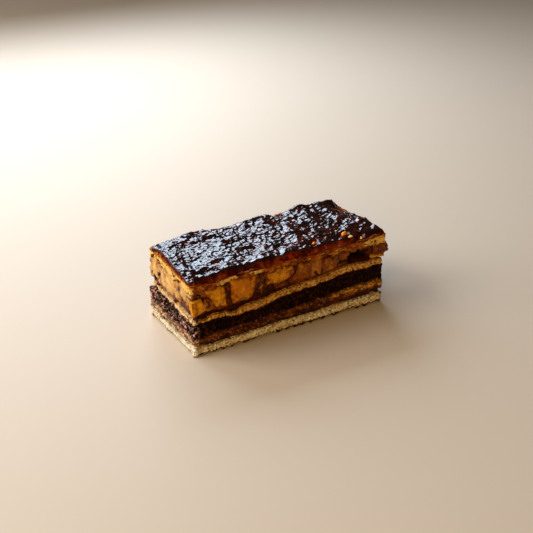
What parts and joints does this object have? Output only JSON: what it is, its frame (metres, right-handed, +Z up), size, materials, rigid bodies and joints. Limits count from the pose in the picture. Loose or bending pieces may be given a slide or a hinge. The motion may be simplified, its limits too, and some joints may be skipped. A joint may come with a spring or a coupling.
{
  "type": "flodni cake slice",
  "caption": "Rectangular slice of layered cake: short pastry sheets with plum jam, walnut, poppy seed and apple fillings between them, under a dark glossy glaze.",
  "frame": {"origin": "middle of the slice's footprint, on the surface it stands on", "axes": "+X along the slice, towards the end where the walnut filling is thickest; -Y out of the long cut face that shows; +Z up"},
  "size_m": [0.1042, 0.0461, 0.0392],
  "materials": {
    "bottom_pastry": "dry, porous crumb with a toasted base",
    "lower_plum_jam": "sticky, half gloss",
    "walnut_filling": "coarse, moist crumb",
    "poppy_filling": "fine dark grains, slightly moist",
    "middle_pastry": "porous crumb soaked golden",
    "upper_plum_jam": "sticky, glossy",
    "apple_filling": "wet, cooked apple pieces in caramel",
    "top_pastry": "flaky, soaked golden",
    "glaze": "wet gloss over a crinkled skin"
  },
  "bodies": {
    "root": {"bottom_pastry": "bottom_pastry", "lower_plum_jam": "lower_plum_jam", "walnut_filling": "walnut_filling", "poppy_filling": "poppy_filling", "middle_pastry": "middle_pastry", "upper_plum_jam": "upper_plum_jam", "apple_filling": "apple_filling", "top_pastry": "top_pastry", "glaze": "glaze"}
  },
  "joints": []
}
